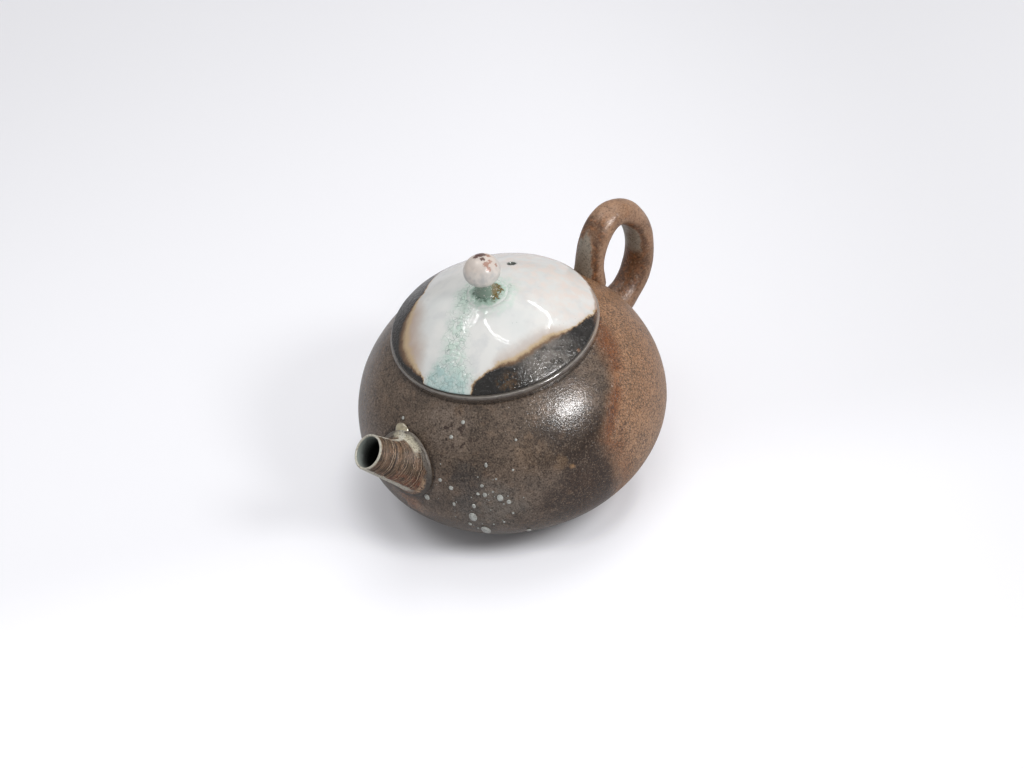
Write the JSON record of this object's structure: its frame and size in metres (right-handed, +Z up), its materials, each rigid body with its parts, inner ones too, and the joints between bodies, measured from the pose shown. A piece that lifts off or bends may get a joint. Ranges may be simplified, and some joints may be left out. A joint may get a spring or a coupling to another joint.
{
  "type": "teapot",
  "caption": "Small round porcelain teapot with a short tapered spout, a looped rear handle and a lift-off domed lid with a ball knob.",
  "frame": {"origin": "centre of the flat foot, on the globe's axis, in the plane of the table", "axes": "+Z up along the globe's axis, -X towards the spout, +X towards the handle"},
  "size_m": [0.1056, 0.08, 0.072],
  "materials": {
    "body_glaze": "satin speckled brown ash glaze over porcelain",
    "collar_glaze": "satin grey-brown glaze",
    "spout_glaze": "satin brown glaze over fine throwing ridges",
    "handle_glaze": "satin mottled brown glaze",
    "lid_glaze": "glossy white glaze with dark patches and a green run",
    "knob_glaze": "glossy translucent white glaze",
    "inner_glaze": "glossy pale glaze",
    "bare_clay": "unglazed turned clay"
  },
  "bodies": {
    "pot": {"body_shell": "body_glaze", "foot_disc": "bare_clay", "mouth_collar": "collar_glaze", "spout": "spout_glaze", "strainer_dome": "inner_glaze", "handle": "handle_glaze"},
    "lid": {"lid_dome": "lid_glaze", "lid_ring": "bare_clay", "lid_knob": "knob_glaze"}
  },
  "joints": [
    {"name": "lid_lift", "type": "slide", "parent": "pot", "child": "lid", "axis": [0, 0, 1], "range_m": [0, 0.05]}
  ]
}
